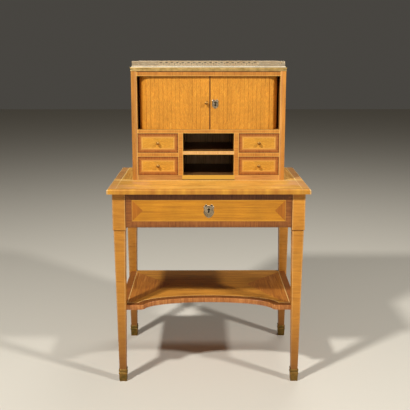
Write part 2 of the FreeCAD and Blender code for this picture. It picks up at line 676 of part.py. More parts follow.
def pierced_strip(length):
    """Gallery strip along X from 0 to length: two rails and a pierced plate between them."""
    rail = GALLERY_RAIL
    low, high = rail + GALLERY_BAR, GALLERY_HEIGHT - rail - GALLERY_BAR
    plate = Part.Face(polygon([V(0, 0, 0), V(length, 0, 0), V(length, GALLERY_HEIGHT, 0),
                               V(0, GALLERY_HEIGHT, 0)]))
    count = int((length - rail) / GALLERY_PITCH)
    first = (length - (count - 1) * GALLERY_PITCH) / 2
    holes = []
    for i in range(count):
        centre = first + i * GALLERY_PITCH
        holes.append(oval(centre, low, high))
        if i + 1 < count:
            between = centre + GALLERY_PITCH / 2
            reach = GALLERY_PITCH / 2 - GALLERY_OVAL * 0.45
            for edge, tip in ((low, low + (high - low) * 0.32), (high, high - (high - low) * 0.32)):
                corners = [V(between - reach, edge, 0), V(between + reach, edge, 0), V(between, tip, 0)]
                holes.append(Part.Face(polygon(corners)))
    strip = plate.cut(holes).extrude(V(0, 0, GALLERY_PLATE))
    strip.translate(V(0, 0, (rail - GALLERY_PLATE) / 2))
    bottom = Part.makeBox(length, rail, rail)
    top = Part.makeBox(length, rail, rail, V(0, GALLERY_HEIGHT - rail, 0))
    strip = strip.fuse([bottom, top]).removeSplitter()
    strip.rotate(V(0, 0, 0), V(1, 0, 0), 90)
    strip.translate(V(0, rail, 0))
    return strip


def gallery():
    """Pierced brass gallery: across the back, along both sides, and a short return at each front corner."""
    outer = case_half + BAND_OUT - BAND_THICKNESS - GALLERY_INSET
    front = case_front - BAND_OUT + BAND_THICKNESS + GALLERY_INSET
    rear = case_rear - BAND_THICKNESS - GALLERY_INSET
    back = pierced_strip(2 * outer)
    back.translate(V(-outer, rear - GALLERY_RAIL, gallery_z))
    side = pierced_strip(rear - front - 2 * GALLERY_RAIL)
    side.rotate(V(0, 0, 0), V(0, 0, 1), 90)
    side.translate(V(outer, front + GALLERY_RAIL, gallery_z))
    end = pierced_strip(GALLERY_RETURN_LENGTH)
    end.translate(V(outer - GALLERY_RETURN_LENGTH, front, gallery_z))
    export("gallery", back, side, mirrored(side), end, mirrored(end))


def main():
    os.makedirs("parts", exist_ok=True)
    places = {"front_left": (-leg_x, leg_y_front), "front_right": (leg_x, leg_y_front),
              "rear_left": (-leg_x, leg_y_rear), "rear_right": (leg_x, leg_y_rear)}
    legs = {name: leg(*place) for name, place in places.items()}
    for name, solid in legs.items():
        export("leg_" + name, solid)
        export("sabot_" + name, sabot(*places[name], solid))
    export("table_top", table_top())
    export("undershelf", undershelf(list(legs.values())))
    export("side_apron_right", side_apron())
    export("side_apron_left", mirrored(side_apron()))
    export("rear_apron", rear_apron())
    export("front_rails", front_rail(top_under - RAIL_THICKNESS), front_rail(apron_bottom))
    export("drawer_runners", drawer_runner(), mirrored(drawer_runner()))
    main_drawer()
    cabinet()
    for row, z0, z1 in (("lower", lower_z, rail_z), ("upper", upper_z, tambour_floor_z)):
        small_drawer("small_drawer_" + row + "_right", bay_inner, inner_half, z0, z1)
        small_drawer("small_drawer_" + row + "_left", -inner_half, -bay_inner, z0, z1)
    tambours()
    marble_and_band()
    gallery()


main()
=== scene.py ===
import bmesh
import bpy
import math
from functools import partial
import numpy as np
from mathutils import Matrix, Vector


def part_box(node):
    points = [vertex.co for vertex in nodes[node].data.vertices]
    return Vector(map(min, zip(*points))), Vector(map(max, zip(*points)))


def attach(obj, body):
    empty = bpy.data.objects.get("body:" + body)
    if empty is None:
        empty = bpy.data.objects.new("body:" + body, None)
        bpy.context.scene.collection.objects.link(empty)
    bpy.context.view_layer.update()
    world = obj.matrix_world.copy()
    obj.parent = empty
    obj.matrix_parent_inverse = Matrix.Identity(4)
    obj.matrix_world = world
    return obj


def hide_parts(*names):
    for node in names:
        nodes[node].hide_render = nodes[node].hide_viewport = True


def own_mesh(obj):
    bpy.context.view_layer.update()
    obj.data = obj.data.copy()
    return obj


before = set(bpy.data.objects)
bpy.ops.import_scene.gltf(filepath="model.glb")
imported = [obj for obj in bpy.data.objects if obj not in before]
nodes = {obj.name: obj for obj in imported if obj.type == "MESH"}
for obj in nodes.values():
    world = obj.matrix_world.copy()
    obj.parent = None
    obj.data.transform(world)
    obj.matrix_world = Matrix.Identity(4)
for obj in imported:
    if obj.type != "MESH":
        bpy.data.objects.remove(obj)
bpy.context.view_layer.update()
mm = 0.001

print("camera, floor and lights")

cameraView = {"place": (-0.0202, -2.3249, 1.1100), "yaw": 0.00358, "pitch": 0.17994, "lens": 57.8,
              "shiftY": -28 / 410}
camera = bpy.data.objects.new("deskCamera", bpy.data.cameras.new("deskCamera"))
camera.data.lens = cameraView["lens"]
camera.data.shift_y = cameraView["shiftY"]
camera.location = cameraView["place"]
camera.rotation_euler = (math.pi / 2 - cameraView["pitch"], 0, -cameraView["yaw"])
bpy.context.collection.objects.link(camera)
bpy.context.scene.camera = camera

studio = {
    "floorSize": 24.0,
    "floorColour": "D2CBBC",
    "roomColour": "9A958C",
    "roomStrength": 0.2,
    "aim": (0, 0, 0.55),
    "lights": {   # place, size in metres, power in watts
        "leftLight": ((-1.68, -1.99, 3.3), 0.3, 134),
        "rightLight": ((2.8, -1.95, 3.1), 0.34, 106),
        "frontFill": ((0.3, -3.4, 1.3), 2.6, 6),
        "backLight": ((0.7, 1.4, 4.2), 1.2, 34),
    },
}


def linearColour(code):
    # sRGB hex to linear: below 0.04045 a straight line, above it a power of 2.4
    channels = [int(code[i:i + 2], 16) / 255 for i in (0, 2, 4)]
    return tuple(c / 12.92 if c <= 0.04045 else ((c + 0.055) / 1.055) ** 2.4 for c in channels) + (1.0,)


def addNode(tree, kind, inputs=(), out=0, stops=(), **settings):
    # Adds one node, such as "Mix" or "Math ADD", with its settings. Inputs are values or nodes' outputs, as a
    # tuple in the node's own order, which for MapRange is value, from low, from high, to low, to high.
    kind, _, operation = kind.partition(" ")
    node = tree.nodes.new("ShaderNode" + kind)
    if operation:
        node.operation = operation
    for setting, value in settings.items():
        setattr(node, setting, value)
    inputs = inputs if isinstance(inputs, dict) else dict(enumerate(inputs))
    for key, value in inputs.items():
        if isinstance(value, bpy.types.NodeSocket):
            tree.links.new(value, node.inputs[key])
        else:
            node.inputs[key].default_value = value
    for i, (place, colour) in enumerate(stops):
        stop = node.color_ramp.elements[i] if i < 2 else node.color_ramp.elements.new(place)
        stop.position, stop.color = place, linearColour(colour)
    return node if out is None else node.outputs[out]


def newMaterial(name, **uniform):
    # a material whose even values stand on the shader's own sockets, and addNode bound to its tree
    material = bpy.data.materials.new(name)
    material.use_nodes = True
    for key, value in uniform.items():
        material.node_tree.nodes["Principled BSDF"].inputs[key.replace("_", " ")].default_value = value
    return material, partial(addNode, material.node_tree)


def finishSurface(material, colour, height=None, relief=0.05 * mm, roughness=None):
    # colour into the shader, and fine relief as a bump of the given depth in metres
    tree = material.node_tree
    shader = tree.nodes["Principled BSDF"]
    tree.links.new(colour, shader.inputs["Base Color"])
    if roughness is not None:
        tree.links.new(roughness, shader.inputs["Roughness"])
    if height is not None:
        bump = addNode(tree, "Bump", {"Height": height, "Distance": relief, "Strength": 0.6})
        tree.links.new(bump, shader.inputs["Normal"])


def layColours(add, ground, *layers):
    # lays colours over a ground one by one; a layer is where it lies, its colour and, unless full, its share
    for place, colour, *share in layers:
        if share:
            place = add("Math MULTIPLY", (place, share[0]))
        if isinstance(colour, str):
            colour = linearColour(colour)
        ground = add("Mix", {0: place, 6: ground, 7: colour}, 2, data_type="RGBA")
    return ground


def drawLines(add, colour, distance, *lines):
    # lines let into the veneer where a distance is near their middle: middle, width, colour and share
    for middle, width, line, share in lines:
        onLine = add("Math COMPARE", (distance, middle * mm, width / 2 * mm))
        colour = layColours(add, colour, (onLine, line, share))
    return colour


def placeAxes(add, axes, centre=(0, 0, 0)):
    # Object coordinates from a centre, split and put in the order of axes, such as "xzy"
    place = add("Mapping", {"Vector": add("TexCoord", out=3), "Location": [-c for c in centre]})
    split = add("SeparateXYZ", (place,), None)
    return [split.outputs["xyz".index(a)] for a in axes]


def fromEdges(add, place, half):
    # distance in from the two edges that lie half a width from the middle: half - |place|
    return add("Math SUBTRACT", (half, add("Math ABSOLUTE", (place,))))


# floor and lights
floorHalf = studio["floorSize"] / 2
floorMesh = bpy.data.meshes.new("studioFloor")
floorMesh.from_pydata([(-floorHalf, -floorHalf, 0), (floorHalf, -floorHalf, 0), (floorHalf, floorHalf, 0),
                       (-floorHalf, floorHalf, 0)], [], [(0, 1, 2, 3)])
studioFloor = bpy.data.objects.new("studioFloor", floorMesh)
bpy.context.collection.objects.link(studioFloor)
floorPaint, _ = newMaterial("mattFloorPaint", Roughness=0.75, Base_Color=linearColour(studio["floorColour"]))
floorMesh.materials.append(floorPaint)

room = bpy.data.worlds.new("studioRoom")
room.use_nodes = True
room.node_tree.nodes["Background"].inputs["Color"].default_value = linearColour(studio["roomColour"])
room.node_tree.nodes["Background"].inputs["Strength"].default_value = studio["roomStrength"]
bpy.context.scene.world = room
bpy.context.scene.view_settings.view_transform = "Standard"

for name, (place, size, power) in studio["lights"].items():
    light = bpy.data.objects.new(name, bpy.data.lights.new(name, "AREA"))
    light.data.shape = "DISK"
    light.data.size = size
    light.data.energy = power
    light.location = place
    aim = np.array(studio["aim"]) - place
    tilt, turn = math.atan2(math.hypot(aim[0], aim[1]), -aim[2]), math.atan2(aim[1], aim[0]) - math.pi / 2
    light.rotation_euler = (tilt, 0, turn)
    bpy.context.collection.objects.link(light)


print("wood, metal and stone")

# streak length along the fibres and width across them in millimetres, how far the streaks wander, how strong
# the flecks are, and four colours from dark streak to light with their places in the noise
shortRamp, longRamp, satinRamp = (0.30, 0.46, 0.58, 0.72), (0.30, 0.46, 0.60, 0.74), (0.28, 0.43, 0.57, 0.72)
woods = {
    "tulipwood": (170, 5.5, 0.7, 0, shortRamp, "A26514 BB7816 C68319 D49426"),   # long, calm stripes
    "topWood": (200, 7.0, 1.2, 0.08, (0.35, 0.46, 0.55, 0.66), "A66E2A CC8F38 DDA346 F2C46E"),   # bleached, and paler still with a painted sheen
    "topEnds": (60, 5.0, 0.3, 0, shortRamp, "986430 B68046 C69256 D8A872"),   # pinkish crossbanding, lightened and greyed with a painted sheen
    "legWood": (60, 7.0, 0.5, 0, (0.28, 0.44, 0.60, 0.74), "9C5E16 BA7824 C6852C D49638"),
    "crossband": (60, 4.0, 0.3, 0, shortRamp, "6F3A14 8B4E1C 9A5C25 AC6C30"),   # rosewood, the darkest veneer
    "satinwood": (28, 4.2, 3.0, 0.13, satinRamp, "A2641E C67F24 D4902C E6A844"),   # short flecks that glint
    "paleSatinwood": (28, 4.2, 3.0, 0.1, satinRamp, "A36A20 C88829 D69A33 E6B04C"),
    "smallBand": (60, 4.0, 0.3, 0, shortRamp, "783E10 94501A A05E20 AE6C2A"),
    "edgeWood": (60, 7.0, 0.6, 0, shortRamp, "8A4C20 AA662E BE7C40 D29558"),
    "shelfWood": (150, 6.0, 0.9, 0.06, (0.30, 0.46, 0.58, 0.70), "85501C AE7127 C2842F D49544"),
    "caseWood": (120, 4.5, 0.4, 0, longRamp, "A66628 C07C30 CE8B37 DA9B46"),
    "railWood": (120, 4.5, 0.4, 0, longRamp, "9A5C24 B2702A C07F32 CE9040"),
    "floorEdge": (90, 5.0, 0.4, 0, longRamp, "AC7034 C88A44 D89A50 E2A85C"),
    "shelfEdge": (80, 5.0, 0.4, 0, longRamp, "C79050 D8A665 E0B070 E8BC80"),
    "innerWood": (160, 7.0, 0.5, 0, longRamp, "8A5820 AA7430 BC863E CC9850"),
    "pigeonholeShadeWood": (160, 7.0, 0.5, 0, longRamp, "4A2E14 5C3C1C 684622 74502A"),   # dark brown: painted shade inside the pigeonholes
    "oak": (90, 3.0, 0.2, 0, longRamp, "8C6A42 AB8A5C BE9E70 CDB287"),   # straight, greyish, open-pored
}
grainLook = {"pore": (9, 0.7), "cloud": 70, "fleck": (10, 3, 3), "fleckSlant": 0.4}     # sizes in millimetres
boxwoodLine, paleLine, darkLine, redLine = "EFCF88", "E8B45A", "3A2012", "48200E"
# shellac rubbed on by hand: a soft, broad sheen, with a thin gloss over it that shows only at a low angle
frenchPolish = {"Roughness": 0.5, "IOR": 1.45, "Specular_IOR_Level": 0.35, "Coat_Weight": 0.16,
                "Coat_Roughness": 0.24}
waxed = {"Roughness": 0.6, "IOR": 1.5}      # bare wood rubbed with wax, duller than the veneers


def woodFigure(add, grain, wood):
    # streaks, pores and slow clouds of colour; grain is a place in metres, or its parts, X along the fibres
    length, width, wander, fleck, places, colours = woods[wood]
    if not isinstance(grain, bpy.types.NodeSocket):
        grain = add("CombineXYZ", grain)
    noises = []
    for long, wide, settings in ((length, width, {"Detail": 4.0, "Roughness": 0.62, "Distortion": wander}),
                                 (*grainLook["pore"], {"Detail": 2.0})):
        perMetre = [1 / (size * mm) for size in (long, wide, wide)]
        stretched = add("Mapping", {"Vector": grain, "Scale": perMetre})
        noises.append(add("TexNoise", {"Vector": stretched, "Scale": 1.0, **settings}))
    streak, pores = noises
    mixed = add("Math MULTIPLY_ADD", (pores, 0.22, add("Math MULTIPLY", (streak, 0.78))))
    tint = add("ValToRGB", (mixed,), stops=zip(places, colours.split()))
    cloud = add("TexNoise", {"Vector": grain, "Scale": 1 / (grainLook["cloud"] * mm), "Detail": 2.0})
    shade = add("MapRange", (cloud, 0.3, 0.7, 0.88, 1.08))
    if fleck:
        # short flecks at a slant to the fibres
        slanted = add("Mapping", {"Vector": grain, "Rotation": (0, 0, grainLook["fleckSlant"]),
                                  "Scale": [size * mm for size in grainLook["fleck"]]}, vector_type="TEXTURE")
        flecks = add("TexNoise", {"Vector": slanted, "Scale": 1.0, "Detail": 2.0, "Distortion": 1.0})
        shade = add("Math MULTIPLY", (shade, add("MapRange", (flecks, 0.3, 0.7, 1 - fleck, 1 + fleck))))
    return add("HueSaturation", {"Color": tint, "Value": shade}), pores


def inlaidPanel(name, node, axes, look):
    # Marquetry on a board. With u and v from its middle, d = smallest of (half width - |u|) and (half height
    # - |v|): below the band's width it is crossbanding, mitred where the two distances are equal. Further in
    # than leafFrom, the ends nearer to a side than to top or bottom are leaves of turned grain that meet the
    # field on the same diagonals.
    material, add = newMaterial(name, **frenchPolish)
    low, high = (np.array(corner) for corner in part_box(node))
    halfU, halfV = (float((high - low)["xyz".index(a)]) / 2 for a in axes[:2])
    u, v, w = placeAxes(add, axes, (low + high) / 2)
    fromSide, fromTop = fromEdges(add, u, halfU), fromEdges(add, v, halfV)
    inward = add("Math MINIMUM", (fromSide, fromTop))
    atSide = add("Math LESS_THAN", (fromSide, fromTop))
    inBand = add("Math LESS_THAN", (inward, look["band"] * mm))
    leafFrom = look.get("leafFrom", 900) * mm      # a panel without leaves has none
    inLeaf = add("Math MULTIPLY", (add("Math GREATER_THAN", (inward, leafFrom)), atSide))
    # the grain turns by a right angle at each mitre of the band, and in the end leaves
    turned = add("Math SUBTRACT", (inBand, add("Math MULTIPLY", (inBand, atSide))))
    turned = add("Math ADD", (turned, inLeaf))
    # each leaf is cut from its own board
    board = add("Math MULTIPLY_ADD", (inBand, 0.31, add("Math MULTIPLY", (atSide, turned))))
    depth = add("Math ADD", (w, board))
    straight, crossed = add("CombineXYZ", (u, v, depth)), add("CombineXYZ", (v, u, depth))
    grain = add("Mix", {0: turned, 4: straight, 5: crossed}, 1, data_type="VECTOR")
    field, pores = woodFigure(add, grain, look["field"])
    band, _ = woodFigure(add, grain, look["bandWood"])
    hue, saturation, value = look.get("leafTint", (0.5, 1.0, 1.0))
    leaves = add("HueSaturation", {"Color": field, "Hue": hue, "Saturation": saturation, "Value": value})
    # painted shadow of the table top's overhang on the upper band
    if "paintedShadowUnderTop" in look:
        above = add("Math SUBTRACT", (add("Math GREATER_THAN", (v, 0.0)), atSide))
        shade = add("MapRange", (above, 0.0, 1.0, 1.0, look["paintedShadowUnderTop"]))
        band = add("HueSaturation", {"Color": band, "Value": shade})
    mitre = add("Math MULTIPLY", (add("Math COMPARE", (fromSide, fromTop, 0.3 * mm)), inBand))
    colour = layColours(add, field, (inLeaf, leaves), (inBand, band), (mitre, darkLine, 0.5))
    colour = drawLines(add, colour, inward, *look["lines"])
    finishSurface(material, colour, pores)
    return material, add, colour


def plainVeneer(name, wood, axes, shine=frenchPolish):
    # one wood, its fibres along the first of the three axes
    material, add = newMaterial(name, **shine)
    colour, pores = woodFigure(add, placeAxes(add, axes), wood)
    finishSurface(material, colour, pores, 0.06 * mm)
    return material, add, colour


def fadedMetal(name, bright, dull, roughness, grit):
    # metal with a thin brown bloom in patches, rougher where it is dull, and black dirt in its hollows
    material, add = newMaterial(name, Metallic=1.0)
    place = add("TexCoord", out=3)
    patches = add("TexNoise", {"Vector": place, "Scale": 1 / (22 * mm), "Detail": 4.0, "Roughness": 0.55})
    colour = add("ValToRGB", (patches,), stops=((0.30, dull), (0.62, bright)))
    colour = layColours(add, colour, (add("Attribute", out=2, attribute_name="hollow"), "2E2416"))
    rough = add("MapRange", (patches, 0.35, 0.65, roughness + 0.16, roughness))
    scratches = add("TexNoise", {"Vector": place, "Scale": 1 / (grit * mm), "Detail": 3.0})
    finishSurface(material, colour, scratches, 0.03 * mm, rough)
    return material


metals = {   # bright and dull colour, roughness where bright, size of the scratches in millimetres
    "gildedBrass": ("F2DCB8", "CDB18A", 0.30, 1.2),        # pale fire-gilding on the gallery, worn thin
    "bandBrass": ("EECB86", "BA9A5C", 0.28, 1.2),          # the moulded band keeps more of its gold
    "sabotBrass": ("A47C3E", "6E5C2C", 0.44, 1.0),         # shoes worn and toned down to brown and olive
    "shieldBrass": ("D4C0A2", "A28E6E", 0.28, 0.8),        # rubbed brass plates, nearly grey
    "knobBrass": ("B08444", "7E5828", 0.40, 0.8),          # small turned knobs, toned brown
    "lockBrass": ("B59A5C", "8A7242", 0.40, 0.8),          # filed brass case
    "boltSteel": ("8E8E92", "6C6A6A", 0.35, 0.6),          # filed iron bolt
}
metal = {name: fadedMetal(name, *look) for name, look in metals.items()}


def marbleStone():
    # polished white marble: cloudy cream ground, thin grey veins where warped noise crosses its middle value
    material, add = newMaterial("polishedMarble", Roughness=0.16, IOR=1.5, Coat_Weight=0.2,
                                Coat_Roughness=0.06)
    place = add("TexCoord", out=3)
    cloud = add("TexNoise", {"Vector": place, "Scale": 1 / (110 * mm), "Detail": 5.0, "Distortion": 1.6})
    offMiddle = add("Math ABSOLUTE", (add("Math SUBTRACT", (cloud, 0.5)),))
    vein = add("MapRange", (offMiddle, 0.0, 0.02, 0.45, 0.0))
    ground = add("ValToRGB", (cloud,), stops=((0.3, "C2B89E"), (0.7, "DACFBA")))
    finishSurface(material, layColours(add, ground, (vein, "9A948A")), cloud, 0.01 * mm)
    return material


def linenCanvas():
    # plain-weave linen: two sets of ridges 1 mm apart, drawn coarser than the real thread so that they show
    material, add = newMaterial("linenCanvas", Roughness=0.9, Sheen_Weight=0.2)
    thread = {"Vector": add("TexCoord", out=3), "Scale": 0.3 / mm, "Distortion": 0.6, "Detail": 1.0}
    weave = add("Math MAXIMUM", [add("TexWave", thread, 1, bands_direction=way) for way in ("X", "Z")])
    colour = add("ValToRGB", (weave,), stops=((0.2, "6E5C40"), (0.9, "A08A62")))
    finishSurface(material, colour, weave, 0.2 * mm)
    return material


def dressNode(node, material):
    # the CAD piece keeps its shape and gets a finish
    nodes[node].data.materials.clear()
    nodes[node].data.materials.append(material)


def gridFaces(rows, columns, wrapRows=False):
    # quads between neighbouring rings; the first and the last are filled unless the rows close on themselves
    index = np.arange(rows * columns).reshape(rows, columns)
    below = index if wrapRows else index[:-1]
    above = np.roll(index, -1, axis=0) if wrapRows else index[1:]
    quads = np.stack([below, np.roll(below, -1, axis=1), np.roll(above, -1, axis=1), above], axis=-1)
    faces = quads.reshape(-1, 4).tolist()
    return faces if wrapRows else faces + [index[0].tolist(), index[-1].tolist()]


def makePiece(name, body, material, points, replaced, attributes=None, sharp=35, wrapRows=False,
              faces=None):
    # a closed mesh, turned outwards, crisp where sharper than the angle; points without faces are rings
    faces = faces or gridFaces(*points.shape[:2], wrapRows)
    mesh = bpy.data.meshes.new(name)
    mesh.from_pydata(np.reshape(points, (-1, 3)).tolist(), [], faces)
    for key, values in (attributes or {}).items():
        data = mesh.attributes.new(key, "FLOAT", "POINT").data
        data.foreach_set("value", np.ravel(values).astype(np.float32))
    shell = bmesh.new()
    shell.from_mesh(mesh)
    bmesh.ops.recalc_face_normals(shell, faces=shell.faces)
    shell.to_mesh(mesh)
    shell.free()
    mesh.polygons.foreach_set("use_smooth", np.ones(len(mesh.polygons), bool))
    mesh.set_sharp_from_angle(angle=math.radians(sharp))
    mesh.materials.append(material)
    piece = bpy.data.objects.new(name, mesh)
    bpy.context.collection.objects.link(piece)
    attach(piece, body)
    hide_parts(replaced)
    return piece


def raised(outlines, heights):
    # rings of (x, y) in millimetres, each set at its height
    heights = np.broadcast_to(np.array(heights)[:, None, None], outlines.shape[:2] + (1,))
    return np.concatenate([outlines, heights], axis=2) * mm


print("table top, frieze and drawers")

# lines: middle in from the edge and width in millimetres, colour, share
drawerLook = {
    "field": "tulipwood", "bandWood": "crossband", "band": 21.0,
    "leafFrom": 22, "leafTint": (0.487, 1.0, 0.74),
    # the faint dark line over the band's outer 9 mm is partly grime and partly painted shade
    "lines": ((22.4, 2.0, paleLine, 0.22), (20.6, 0.8, darkLine, 0.3), (4.5, 9.0, darkLine, 0.16),
              (1.0, 2.0, darkLine, 0.5)),
    "paintedShadowUnderTop": 0.64,      # painted shadow: the upper band, under the edge of the table top, is darkened as the top's overhang shades it
}
smallLook = {
    "field": "paleSatinwood", "bandWood": "smallBand", "band": 11.0,
    "lines": ((13.0, 4.0, "C8843E", 0.6), (15.8, 1.6, paleLine, 0.6), (8.5, 5.0, "C8843E", 0.3),
              (0.8, 1.6, darkLine, 0.5)),
}
sideLook = {
    "field": "tulipwood", "bandWood": "crossband", "band": 26, "leafFrom": 27, "leafTint": (0.49, 1.0, 0.9),
    "lines": ((26.6, 1.2, boxwoodLine, 0.8), (25.4, 1.0, darkLine, 0.8)),
}
apronLook = dict(drawerLook, band=20, lines=((20.6, 1.2, boxwoodLine, 0.8), (19.4, 1.2, darkLine, 0.7)))
pigeonholeHalf = 92
keyholes = {"drawer": (0.0, 615.0), "tambour": (23.5, 954.5)}     # across and up, in millimetres
keyholeShadeStain = (5, 3.5, 8.5)      # half its width, how far below the keyhole its middle lies, half its height
topLook = {
    "end": 27, "half": 335,            # width of the crossbanded ends, and half the top's width
    "joint": -49, "edge": -211,        # where the joint and the rounding of the front lie in depth
    "pinkish": (170, 60),              # how far from the side it begins, and where it is full
    "dull": 110, "arris": 4, "corner": 5,    # how far in the top is duller, and how far its arrises and its corners are paler, worn and with a painted highlight
}


def tableTopMaterial():
    # Crossbanded ends and a long-grained field with a light line between them. A dark joint with a light line
    # before it crosses the top in front of the cabinet. The part in front of it is streaked, with pinkish
    # ends, a dark line where the rounding begins and a yellow, blotchy edge.
    material, add = newMaterial("tableTopMarquetry", **frenchPolish)
    end, joint, edge, half = (topLook[key] for key in ("end", "joint", "edge", "half"))
    x, y, z = placeAxes(add, "xyz")
    fromSide = fromEdges(add, x, half * mm)
    rear, pores = woodFigure(add, (y, x, z), "topWood")
    front, _ = woodFigure(add, (x, y, z), "topWood")
    ends, _ = woodFigure(add, (x, y, 0.4), "topEnds")
    patches = add("TexNoise", {"Vector": add("CombineXYZ", (x, y, z)), "Scale": 1 / (60 * mm), "Detail": 3.0})
    pinkish = add("MapRange", (patches, 0.45, 0.6, 0.0, 0.5))
    outwards = add("MapRange", (fromSide, *(place * mm for place in topLook["pinkish"])))
    front = layColours(add, front, (pinkish, "DCA074", outwards))
    duller = add("MapRange", (fromSide, 0.0, topLook["dull"] * mm, 0.74, 1.04))
    front = add("HueSaturation", {"Color": front, "Value": duller})
    atEnd = add("Math LESS_THAN", (fromSide, end * mm))
    inFront = add("Math LESS_THAN", (y, joint * mm))
    share = add("MapRange", (inFront, 0.0, 1.0, 0.9, 0.4))
    blotches = add("TexNoise", {"Vector": add("CombineXYZ", (x,)), "Scale": 1 / (34 * mm), "Detail": 2.0})
    yellow = add("ValToRGB", (blotches,), stops=((0.35, "AE6E22"), (0.65, "CC9030")))
    atEdge = add("Math LESS_THAN", (y, (edge + 3) * mm))
    colour = layColours(add, rear, (inFront, front), (atEnd, ends, share), (atEdge, yellow))
    colour = drawLines(add, colour, y, (edge + 5, 4, redLine, 0.55))
    # paler arrises at the sides and at the front corners, worn and with a painted highlight, and a paler
    # strip just behind the joint, which is a painted reflection
    arris = add("Math GREATER_THAN", (z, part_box("table_top")[1][2] - topLook["arris"] * mm))
    arris = add("Math MULTIPLY", (add("Math LESS_THAN", (fromSide, topLook["arris"] * mm)), arris))
    corner = add("Math LESS_THAN", (y, (edge + 2) * mm))
    corner = add("Math MULTIPLY", (add("Math LESS_THAN", (fromSide, topLook["corner"] * mm)), corner))
    colour = layColours(add, colour, (arris, "E8CFA0", 0.45), (corner, "E4CC9C", 0.28))
    colour = drawLines(add, colour, y, (joint + 12, 20, paleLine, 0.5))
    lineShare = add("Math MULTIPLY", (add("MapRange", (atEdge, 0.0, 1.0, 1.0, 0.2)), share))
    colour = drawLines(add, colour, fromSide, (end + 1.2, 2.4, boxwoodLine, lineShare))
    # the joint is dark before the pigeonholes only
    middle = add("Math GREATER_THAN", (fromSide, (half - pigeonholeHalf) * mm))
    darkShare = add("MapRange", (middle, 0.0, 1.0, 0.12, 0.6))
    colour = drawLines(add, colour, y, (joint - 6, 6, boxwoodLine, 0.6), (joint, 6, darkLine, darkShare))
    finishSurface(material, colour, pores)
    return material


def keyholeShadeAndDirt(material, add, colour, lock):
    # the wood inside a keyhole, and hidden under its plate round it, is painted black: painted shade in the
    # keyhole, partly dirt
    (x, z), (wide, below, tall) = keyholes[lock], keyholeShadeStain
    across, up = placeAxes(add, "xz")
    near = add("Math COMPARE", (across, x * mm, wide * mm))
    near = add("Math MULTIPLY", (near, add("Math COMPARE", (up, (z - below) * mm, tall * mm))))
    finishSurface(material, layColours(add, colour, (near, "140D06")))
    return material


smallDrawers = [(row, side) for row in ("lower", "upper") for side in ("left", "right")]
dressNode("table_top", tableTopMaterial())
drawerFront = inlaidPanel("drawerMarquetry", "drawer_front", "xzy", drawerLook)
dressNode("drawer_front", keyholeShadeAndDirt(*drawerFront, "drawer"))
for row, side in smallDrawers:
    front = f"small_drawer_{row}_{side}_front"
    name = "smallDrawerMarquetry" + row.title() + side.title()
    dressNode(front, inlaidPanel(name, front, "xzy", smallLook)[0])
for side in ("left", "right"):
    apron = "side_apron_" + side
    dressNode(apron, inlaidPanel("sideFriezeMarquetry" + side.title(), apron, "yzx", apronLook)[0])
dressNode("rear_apron", plainVeneer("rearFriezeVeneer", "caseWood", "xzy")[0])

waxedOak = plainVeneer("waxedOakAcross", "oak", "xyz", waxed)[0]
for node in ("front_rails", "drawer_back", "drawer_bottom"):
    dressNode(node, waxedOak)
waxedOakDeep = plainVeneer("waxedOakDeep", "oak", "yzx", waxed)[0]
for node in ("drawer_runners", "drawer_side_left", "drawer_side_right", "tambour_linings"):
    dressNode(node, waxedOakDeep)
for row, side in smallDrawers:
    dressNode(f"small_drawer_{row}_{side}_box", waxedOakDeep)

# the back is three upright boards, paler on the inner face: painted light that lifts the shade in the
# pigeonholes
backBoards, add, colour = plainVeneer("backBoards", "oak", "zxy", waxed)
across, deep = placeAxes(add, "xy")
inner, outer = (corner[1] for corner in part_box("case_back"))
colour = add("HueSaturation", {"Color": colour, "Value": add("MapRange", (deep, inner, outer, 1.8, 1.0))})
finishSurface(backBoards, drawLines(add, colour, add("Math ABSOLUTE", (across,)), (84, 1.2, darkLine, 1.0)))
dressNode("case_back", backBoards)
for lock in ("drawer_lock", "tambour_lock"):
    dressNode(lock, metal["lockBrass"])
    dressNode(lock + "_bolt", metal["boltSteel"])
dressNode("marble_top", marbleStone())


print("cabinet")

uprightLook = dict(sideLook, innerLine=1.4, innerStrip=7.0, outerFace=18.8,
                   shade={"left": 0.81, "right": 1.01})


def dressCaseSide(side):
    # outer face inlaid; the front edge, from its inner side: a light line, a pale strip, an orange strip
    look, node = uprightLook, "case_side_" + side
    material, add, panel = inlaidPanel("caseSideMarquetry" + side.title(), node, "yzx", look)
    x, z, y = placeAxes(add, "xzy")
    low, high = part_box(node)
    across = add("Math SUBTRACT", (add("Math ABSOLUTE", (x,)), min(abs(low[0]), abs(high[0]))))
    orange, _ = woodFigure(add, (z, x, y), "caseWood")
    orange = add("HueSaturation", {"Color": orange, "Value": look["shade"][side]})
    pale = add("HueSaturation", {"Color": orange, "Saturation": 0.95, "Value": 1.07})
    inStrip = add("Math LESS_THAN", (across, look["innerStrip"] * mm))
    inLine = add("Math LESS_THAN", (across, look["innerLine"] * mm))
    edge = layColours(add, orange, (inStrip, pale), (inLine, paleLine))
    atFront = add("Math LESS_THAN", (y, low[1] + 0.2 * mm))
    atOuter = add("Math GREATER_THAN", (across, look["outerFace"] * mm))
    inside, _ = woodFigure(add, (z, y, x), "innerWood")
    finishSurface(material, layColours(add, inside, (atOuter, panel), (atFront, edge)))
    dressNode(node, material)


